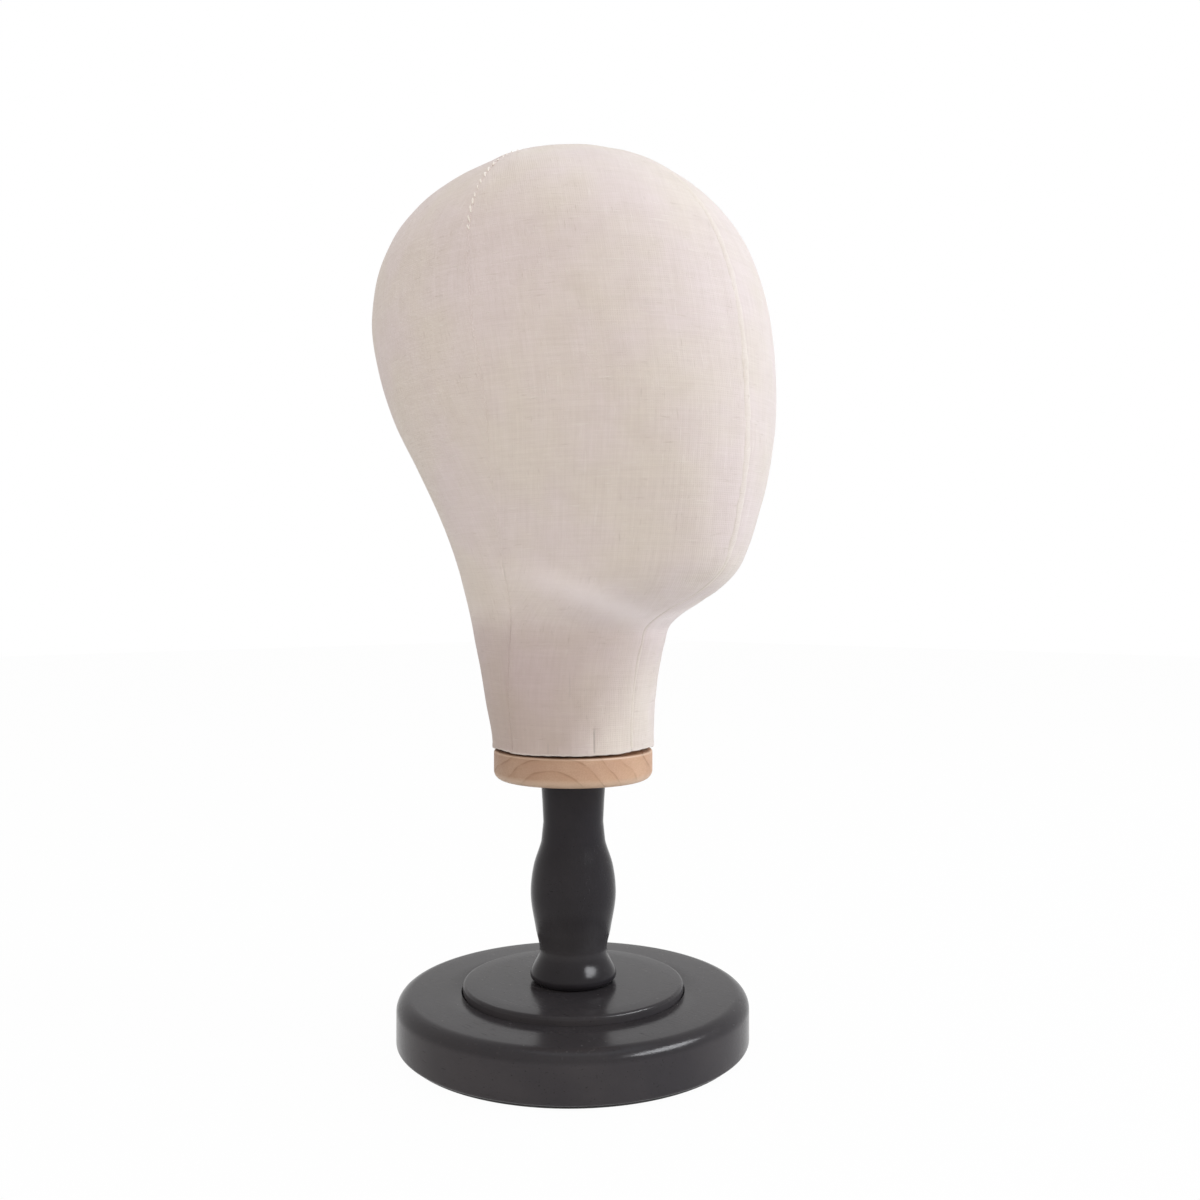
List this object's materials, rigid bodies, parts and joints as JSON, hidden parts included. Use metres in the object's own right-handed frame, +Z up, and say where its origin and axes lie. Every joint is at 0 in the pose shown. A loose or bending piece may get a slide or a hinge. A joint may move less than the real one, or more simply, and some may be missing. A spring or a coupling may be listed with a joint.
{
  "type": "mannequin head",
  "caption": "Featureless linen-covered display head for hats and wigs, turning on a pin over a turned column with a round base.",
  "frame": {"origin": "middle of the base's underside, on the column's axis", "axes": "+Z up along the column to the crown, -Y the way the face looks, +X the head's own left"},
  "size_m": [0.155, 0.209, 0.3913],
  "materials": {
    "linen": "matte",
    "seam_thread": "matte",
    "wadding": "matte",
    "paper_pulp": "matte",
    "pine": "satin",
    "black_lacquer": "gloss",
    "steel": "satin",
    "brass": "satin",
    "fibre": "matte",
    "felt": "matte"
  },
  "bodies": {
    "stand": {"base_felt_pad": "felt", "base_disc": "black_lacquer", "step_disc": "black_lacquer", "step_disc_screw_1": "steel", "step_disc_screw_2": "steel", "step_disc_screw_3": "steel", "base_bolt": "steel", "base_bolt_washer": "steel", "column": "black_lacquer", "column_insert": "brass", "swivel_pin": "steel"},
    "swivel": {"swivel_washer": "fibre"},
    "head": {"neck_disc": "pine", "neck_bush": "brass", "neck_disc_screw_1": "steel", "neck_disc_screw_2": "steel", "neck_disc_screw_3": "steel", "neck_block": "pine", "core_front": "paper_pulp", "core_back": "paper_pulp", "padding": "wadding", "cover_front_left": "linen", "cover_front_right": "linen", "cover_back_left": "linen", "cover_back_right": "linen", "seam_front": "seam_thread", "seam_back": "seam_thread", "seam_left": "seam_thread", "seam_right": "seam_thread"}
  },
  "joints": [
    {"name": "head_turn", "type": "hinge", "parent": "stand", "child": "swivel", "pos_m": [0, 0, 0.1149], "axis": [0, 0, 1], "continuous": true},
    {"name": "head_lift", "type": "slide", "parent": "swivel", "child": "head", "axis": [0, 0, 1], "range_m": [0, 0.05]}
  ]
}
